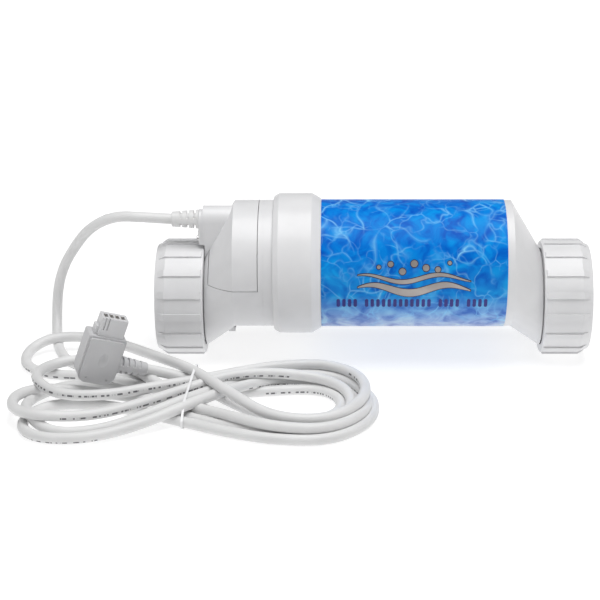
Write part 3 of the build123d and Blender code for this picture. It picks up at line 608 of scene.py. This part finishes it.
# ---------------------------------------------------------------- tie and cord
TIE_WIDTH = 0.0018
TIE_THICKNESS = 0.0005
TIE_SLANT = 0.1
TIE_GAP = 0.0001
TIE_FLOOR_GAP = 0.00005
STRAND_STEPS = 24
CORD_STEPS_ALONG = 10
CORD_STEPS_ROUND = 7


def strands_at_tie():
    """Where the settled cord crosses the tie's plane, as (y, z)."""
    path = curve_shares(len(cord_route)) @ cord_route
    crossings = []
    for before, after in zip(path, path[1:]):
        if (before[0] - TIE_X) * (after[0] - TIE_X) <= 0:
            share = (TIE_X - before[0]) / (after[0] - before[0])
            place = mix(before, after, share)
            crossings.append((place[1], place[2]))
    return crossings


def hull(points):
    """The outline that a band takes round the points, counter-clockwise."""
    points = sorted(points)
    outline = []
    for run in (points, points[::-1]):
        side = []
        for p in run:
            while len(side) > 1:
                (ax, ay), (bx, by) = side[-2], side[-1]
                if (bx - ax) * (p[1] - ay) - (by - ay) * (p[0] - ax) > 0:
                    break
                side.pop()
            side.append(p)
        outline += side[:-1]
    return outline


def make_tie():
    """A thin band pulled round the strands at the hank's waist."""
    radius = CORD_D / 2 + TIE_GAP
    steps = [2 * math.pi * i / STRAND_STEPS for i in range(STRAND_STEPS)]
    inner = hull([(y + radius * math.cos(angle), z + radius * math.sin(angle))
                  for y, z in strands_at_tie() for angle in steps])
    count = len(inner)
    centre_y = sum(y for y, z in inner) / count
    centre_z = sum(z for y, z in inner) / count
    vertices = []
    for y, z in inner:
        reach = math.hypot(y - centre_y, z - centre_z)
        grow = 1 + TIE_THICKNESS / reach
        outer_y, outer_z = centre_y + (y - centre_y) * grow, centre_z + (z - centre_z) * grow
        for py, pz in ((y, z), (outer_y, outer_z)):
            x = TIE_X + TIE_SLANT * (py - centre_y)
            for side in (-1, 1):
                vertices.append((x + side * TIE_WIDTH / 2, py, max(pz, TIE_FLOOR_GAP)))
    faces = []
    for i in range(count):
        a, b = 4 * i, 4 * ((i + 1) % count)
        for j, k in ((0, 1), (1, 3), (3, 2), (2, 0)):
            faces.append((a + j, b + j, b + k, a + k))
    tie = add_mesh("tie_band", vertices, faces, tie_film)
    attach(tie, "cell")
    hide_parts("hank_tie")
    return tie


def make_cord(tie):
    """The whole cord on its settled route. Its tie argument is not used."""
    curve = bpy.data.curves.new("cell_cord", "CURVE")
    curve.dimensions = "3D"
    spline = curve.splines.new("NURBS")
    spline.points.add(len(cord_route) - 1)
    for point, place in zip(spline.points, cord_route):
        point.co = (*place, 1)
    spline.order_u = 3
    spline.use_endpoint_u = True
    spline.resolution_u = CORD_STEPS_ALONG
    curve.bevel_depth = CORD_D / 2
    curve.bevel_resolution = CORD_STEPS_ROUND
    curve.use_fill_caps = True
    cord = bpy.data.objects.new("cell_cord", curve)
    bpy.context.scene.collection.objects.link(cord)
    curve.materials.append(cord_jacket)
    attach(cord, "cell")
    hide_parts("cord_lead", "cord_hank", "cord_tail")


make_cord(make_tie())


# ---------------------------------------------------------------- floor, light and camera
FLOOR_HALF = 6.0
FLOOR_COLOUR = (0.45, 0.45, 0.45, 1)
FLOOR_ROUGHNESS = 0.9
# The floor's glow, by distance from the middle, grows so that the floor fades into white.
FLOOR_GLOW = {"From Min": 0.25, "From Max": 0.9, "To Min": 0.68, "To Max": 1.0}
WORLD_STRENGTH = 0.22
LIGHT_TARGET = Vector((0, 0, 0.05))
# Each round soft light: its place, diameter and power.
LIGHTS = {
    "top": ((0.1, -0.15, 1.6), 1.4, 22),
    "left": ((-1.4, -0.8, 0.9), 1.2, 3.2),
    "right": ((1.5, -0.5, 0.9), 0.8, 2.0),
}


def make_floor():
    material, nodes, links, shader = new_material("floor_white")
    shader.inputs["Base Color"].default_value = FLOOR_COLOUR
    shader.inputs["Roughness"].default_value = FLOOR_ROUGHNESS
    place = add_node(nodes, "ShaderNodeTexCoord").outputs["Object"]
    distance = add_node(nodes, "ShaderNodeVectorMath", operation="LENGTH")
    glow = add_node(nodes, "ShaderNodeMapRange", FLOOR_GLOW, interpolation_type="SMOOTHSTEP")
    links.new(place, distance.inputs[0])
    links.new(distance.outputs["Value"], glow.inputs["Value"])
    shader.inputs["Emission Color"].default_value = (*WHITE, 1)
    links.new(glow.outputs["Result"], shader.inputs["Emission Strength"])
    corners = [(x * FLOOR_HALF, y * FLOOR_HALF, 0) for x, y in ((-1, -1), (1, -1), (1, 1), (-1, 1))]
    add_mesh("floor", corners, [(0, 1, 2, 3)], material)


def add_light(name, place, size, power):
    light = bpy.data.lights.new(name, "AREA")
    light.shape = "DISK"
    light.size = size
    light.energy = power
    lamp = bpy.data.objects.new(name, light)
    lamp.location = place
    lamp.rotation_euler = (LIGHT_TARGET - Vector(place)).to_track_quat("-Z", "Y").to_euler()
    bpy.context.scene.collection.objects.link(lamp)


def make_world():
    world = bpy.data.worlds.new("studio")
    world.use_nodes = True
    world.node_tree.nodes["Background"].inputs["Color"].default_value = (*WHITE, 1)
    world.node_tree.nodes["Background"].inputs["Strength"].default_value = WORLD_STRENGTH
    bpy.context.scene.world = world


def make_camera():
    data = bpy.data.cameras.new("camera")
    data.lens = CAMERA_LENS
    data.sensor_width = CAMERA_SENSOR
    data.shift_x = CAMERA_SHIFT_X
    camera = bpy.data.objects.new("camera", data)
    back = Vector((0, -math.cos(CAMERA_ELEVATION), math.sin(CAMERA_ELEVATION)))
    camera.location = CAMERA_TARGET + CAMERA_DISTANCE * back
    camera.rotation_euler = (math.radians(90) - CAMERA_ELEVATION, 0, 0)
    bpy.context.scene.collection.objects.link(camera)
    bpy.context.scene.camera = camera


make_floor()
make_world()
for name, (place, size, power) in LIGHTS.items():
    add_light(name, place, size, power)
make_camera()
bpy.context.scene.view_settings.view_transform = "Standard"
